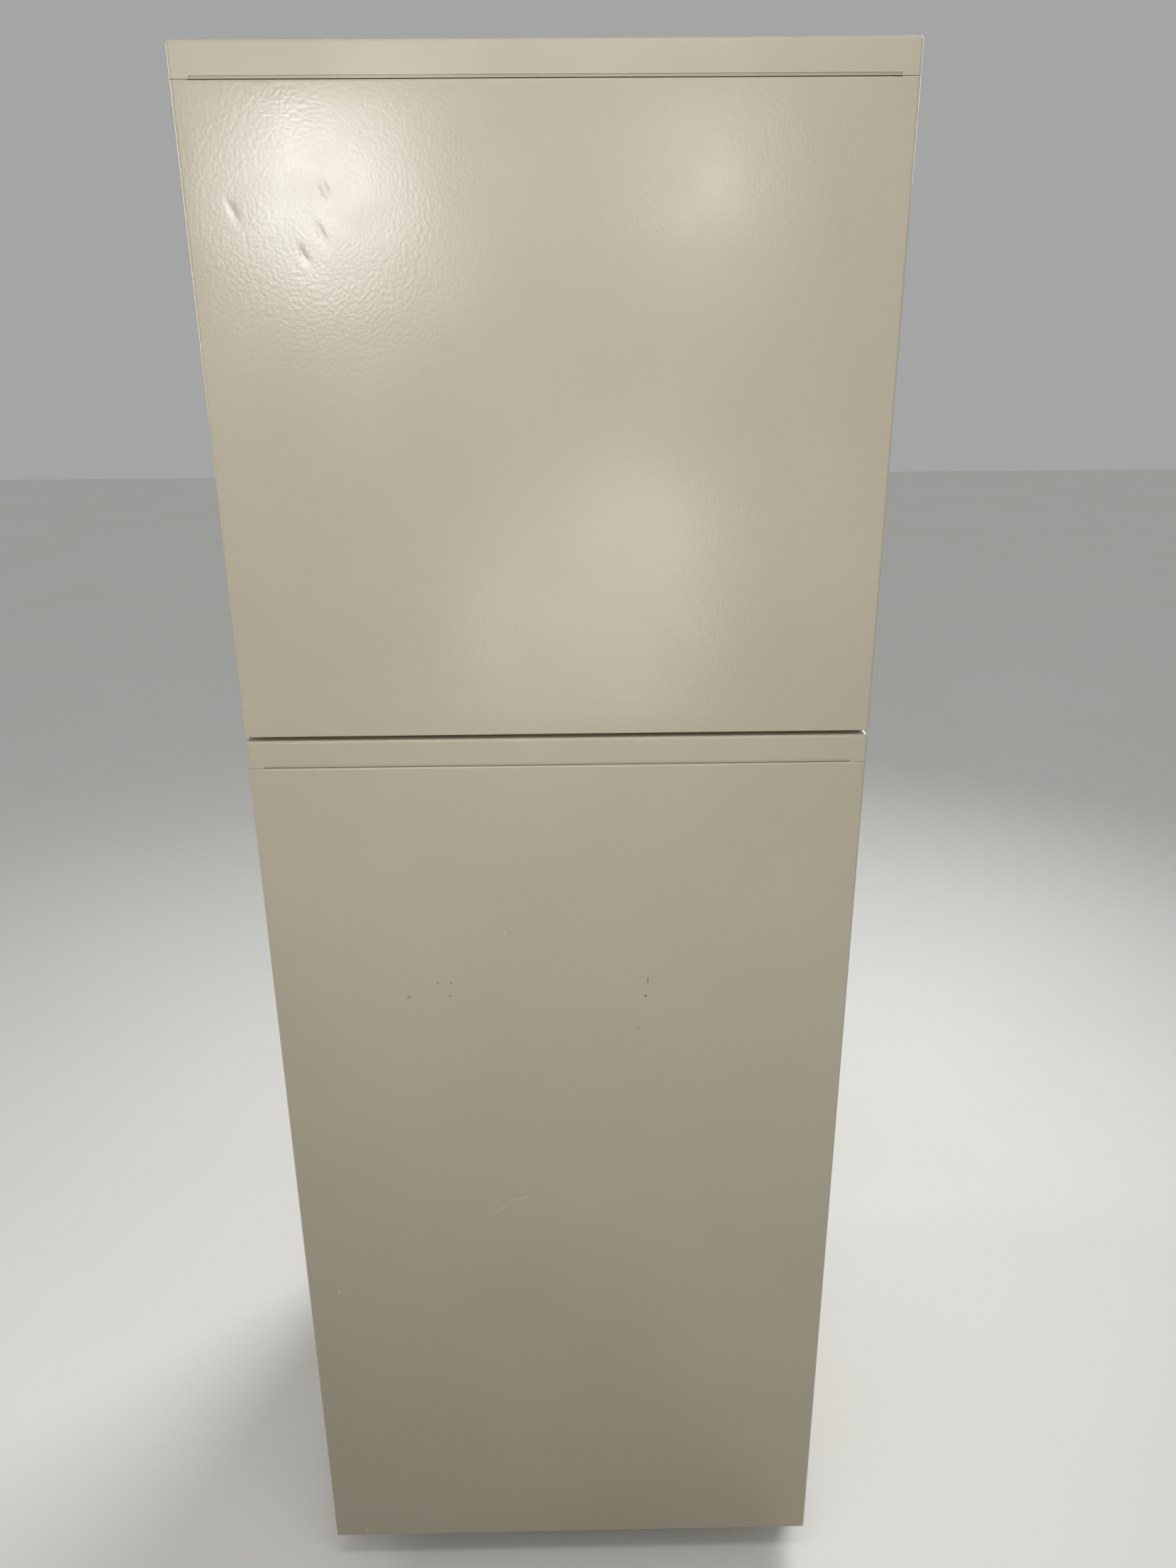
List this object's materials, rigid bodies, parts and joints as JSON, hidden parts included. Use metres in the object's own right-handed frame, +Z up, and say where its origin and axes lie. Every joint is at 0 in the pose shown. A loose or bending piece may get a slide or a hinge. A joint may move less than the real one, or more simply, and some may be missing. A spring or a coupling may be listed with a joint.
{
  "type": "two-door fridge-freezer",
  "caption": "Free-standing top-freezer refrigerator with blank beige-grey painted steel doors, side finger grips and a rear condenser.",
  "frame": {"origin": "on the floor, at the middle of the footprint's bounding box", "axes": "+X to the right of someone facing the doors (the hinge side), +Y from the doors to the back, +Z up"},
  "size_m": [0.6, 0.64, 1.7305],
  "materials": {
    "door_paint": "satin",
    "cap_plastic": "satin",
    "cabinet_paint": "satin",
    "zinc_steel": "satin",
    "foam": "matte",
    "liner_white": "gloss",
    "gasket": "matte",
    "grip_plastic": "satin",
    "bin_clear": "gloss",
    "shelf_glass": "polished",
    "black_steel": "satin",
    "copper": "satin",
    "black_plastic": "matte",
    "aluminium": "satin",
    "lamp_plastic": "satin"
  },
  "bodies": {
    "cabinet": {"cabinet_wrapper": "cabinet_paint", "back_panel": "zinc_steel", "insulation_foam": "foam", "freezer_liner": "liner_white", "fridge_liner": "liner_white", "mullion_rail": "cabinet_paint", "base_frame": "zinc_steel", "kick_plate": "grip_plastic", "compressor": "black_steel", "relay_box": "black_plastic", "suction_pipe": "copper", "discharge_pipe": "copper", "condenser_coil": "black_steel", "condenser_bracket_left": "black_steel", "condenser_bracket_right": "black_steel", "filter_drier": "copper", "drip_tray": "black_plastic", "cord_gland": "black_plastic", "evaporator_cover": "liner_white", "evaporator": "aluminium", "fan_motor": "black_plastic", "freezer_shelf": "liner_white", "glass_shelf_upper": "shelf_glass", "glass_shelf_middle": "shelf_glass", "crisper_cover": "shelf_glass", "control_housing": "liner_white", "lamp_cover": "lamp_plastic", "door_switch": "liner_white", "top_hinge": "zinc_steel", "top_hinge_cover": "cap_plastic", "middle_hinge": "zinc_steel", "bottom_hinge": "zinc_steel"},
    "freezer_door": {"freezer_door_skin": "door_paint", "freezer_door_top_cap": "cap_plastic", "freezer_door_bottom_cap": "cap_plastic", "freezer_door_foam": "foam", "freezer_door_liner": "liner_white", "freezer_door_gasket": "gasket", "freezer_door_grip": "grip_plastic", "freezer_bin": "bin_clear"},
    "fridge_door": {"fridge_door_skin": "door_paint", "fridge_door_top_cap": "cap_plastic", "fridge_door_bottom_cap": "cap_plastic", "fridge_door_foam": "foam", "fridge_door_liner": "liner_white", "fridge_door_gasket": "gasket", "fridge_door_grip": "grip_plastic", "fridge_bin_upper": "bin_clear", "fridge_bin_middle": "bin_clear", "fridge_bin_lower": "bin_clear"},
    "flap": {"dairy_flap": "bin_clear"},
    "crisper": {"crisper_drawer": "bin_clear"},
    "knob": {"thermostat_knob": "liner_white"},
    "plunger": {"switch_plunger": "liner_white"},
    "fan": {"evaporator_fan": "black_plastic"},
    "foot_left": {"levelling_foot_left": "black_plastic"},
    "foot_right": {"levelling_foot_right": "black_plastic"},
    "roller_left": {"rear_roller_left": "black_plastic"},
    "roller_right": {"rear_roller_right": "black_plastic"}
  },
  "joints": [
    {"name": "freezer_door_swing", "type": "hinge", "parent": "cabinet", "child": "freezer_door", "pos_m": [0.288, -0.29, 1.426], "axis": [0, 0, 1], "range_deg": [0, 120]},
    {"name": "fridge_door_swing", "type": "hinge", "parent": "cabinet", "child": "fridge_door", "pos_m": [0.288, -0.29, 0.5875], "axis": [0, 0, 1], "range_deg": [0, 120]},
    {"name": "dairy_flap_lift", "type": "hinge", "parent": "fridge_door", "child": "flap", "pos_m": [0, -0.243, 1.029], "axis": [1, 0, 0], "range_deg": [0, 70]},
    {"name": "crisper_slide", "type": "slide", "parent": "cabinet", "child": "crisper", "axis": [0, -1, 0], "range_m": [0, 0.04]},
    {"name": "thermostat_turn", "type": "hinge", "parent": "cabinet", "child": "knob", "pos_m": [0.078, -0.01, 1.0745], "axis": [0, 1, 0], "range_deg": [-135, 135]},
    {"name": "lamp_switch_press", "type": "slide", "parent": "cabinet", "child": "plunger", "axis": [0, 1, 0], "range_m": [0, 0.004], "stiffness_N_per_m": 150, "springref_m": -0.004},
    {"name": "fan_spin", "type": "hinge", "parent": "cabinet", "child": "fan", "pos_m": [0, 0.17, 1.52], "axis": [0, 1, 0], "continuous": true},
    {"name": "foot_left_turn", "type": "hinge", "parent": "cabinet", "child": "foot_left", "pos_m": [-0.262, -0.222, 0.006], "axis": [0, 0, 1], "continuous": true},
    {"name": "foot_right_turn", "type": "hinge", "parent": "cabinet", "child": "foot_right", "pos_m": [0.262, -0.222, 0.006], "axis": [0, 0, 1], "continuous": true},
    {"name": "roller_left_spin", "type": "hinge", "parent": "cabinet", "child": "roller_left", "pos_m": [-0.262, 0.235, 0.016], "axis": [1, 0, 0], "continuous": true},
    {"name": "roller_right_spin", "type": "hinge", "parent": "cabinet", "child": "roller_right", "pos_m": [0.262, 0.235, 0.016], "axis": [1, 0, 0], "continuous": true}
  ]
}
